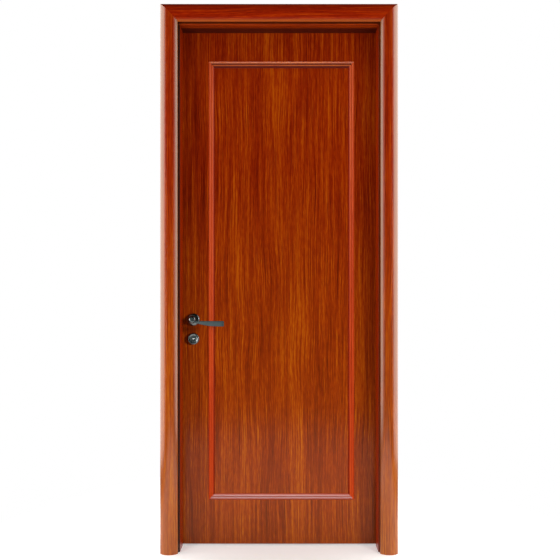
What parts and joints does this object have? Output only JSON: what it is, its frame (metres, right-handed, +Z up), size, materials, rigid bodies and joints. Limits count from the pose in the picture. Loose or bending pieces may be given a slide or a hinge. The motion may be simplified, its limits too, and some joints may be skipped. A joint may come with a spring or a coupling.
{
  "type": "wooden door",
  "caption": "Hinged wooden door set: flush varnished leaf with a mitred panel moulding and lever lock, in a wall lining with crowned architraves.",
  "frame": {"origin": "wall face of the hinge-side lining, at floor level in the middle of the wall's depth", "axes": "+Z up; +X from the door towards the wall beside the hinges; +Y away from the recessed face, the way the leaf opens"},
  "size_m": [0.952, 0.211, 2.136],
  "materials": {
    "lining_wood": "clear varnish",
    "reveal_wood": "clear varnish",
    "architrave_wood": "gloss varnish",
    "leaf_veneer": "gloss varnish",
    "leaf_edge_wood": "clear varnish",
    "moulding_wood": "gloss varnish",
    "lever_metal": "satin gunmetal",
    "rose_metal": "polished gunmetal",
    "plug_metal": "satin gunmetal",
    "lock_steel": "brushed",
    "hinge_steel": "brushed",
    "seal_rubber": "matte"
  },
  "bodies": {
    "frame": {"latch_side_lining": "lining_wood", "hinge_side_lining": "lining_wood", "head_lining": "lining_wood", "latch_side_stop": "reveal_wood", "hinge_side_stop": "reveal_wood", "head_stop": "reveal_wood", "latch_side_seal": "seal_rubber", "hinge_side_seal": "seal_rubber", "head_seal": "seal_rubber", "front_latch_side_architrave": "architrave_wood", "front_hinge_side_architrave": "architrave_wood", "front_head_architrave": "architrave_wood", "back_latch_side_architrave": "architrave_wood", "back_hinge_side_architrave": "architrave_wood", "back_head_architrave": "architrave_wood", "strike_plate": "lock_steel", "hinge_frame_sides": "hinge_steel", "hinge_pins": "hinge_steel"},
    "leaf": {"front_facing": "leaf_veneer", "back_facing": "leaf_veneer", "lock_stile": "leaf_edge_wood", "hinge_stile": "leaf_edge_wood", "top_rail": "leaf_edge_wood", "bottom_rail": "leaf_edge_wood", "leaf_core": "leaf_edge_wood", "front_latch_side_moulding": "moulding_wood", "front_hinge_side_moulding": "moulding_wood", "front_head_moulding": "moulding_wood", "front_bottom_moulding": "moulding_wood", "back_latch_side_moulding": "moulding_wood", "back_hinge_side_moulding": "moulding_wood", "back_head_moulding": "moulding_wood", "back_bottom_moulding": "moulding_wood", "lock_case": "lock_steel", "latch_bolt": "lock_steel", "dead_bolt": "lock_steel", "front_lever_rose": "rose_metal", "back_lever_rose": "rose_metal", "front_key_rose": "rose_metal", "back_key_rose": "rose_metal", "hinge_door_sides": "hinge_steel"},
    "lever": {"front_lever": "lever_metal", "back_lever": "lever_metal", "spindle": "lock_steel"},
    "key_plug": {"front_key_plug": "plug_metal", "back_key_plug": "plug_metal", "tail_bar": "lock_steel"}
  },
  "joints": [
    {"name": "leaf_swing", "type": "hinge", "parent": "frame", "child": "leaf", "pos_m": [-0.0245, 0.0665, 0], "axis": [0, 0, -1], "range_deg": [0, 110]},
    {"name": "lever_turn", "type": "hinge", "parent": "leaf", "child": "lever", "pos_m": [-0.7635, 0.039, 0.902], "axis": [0, 1, 0], "range_deg": [0, 40], "stiffness_Nm_per_rad": 1.2, "springref_deg": -34.38},
    {"name": "key_turn", "type": "hinge", "parent": "leaf", "child": "key_plug", "pos_m": [-0.7635, 0.039, 0.825], "axis": [0, 1, 0], "range_deg": [0, 90]}
  ]
}
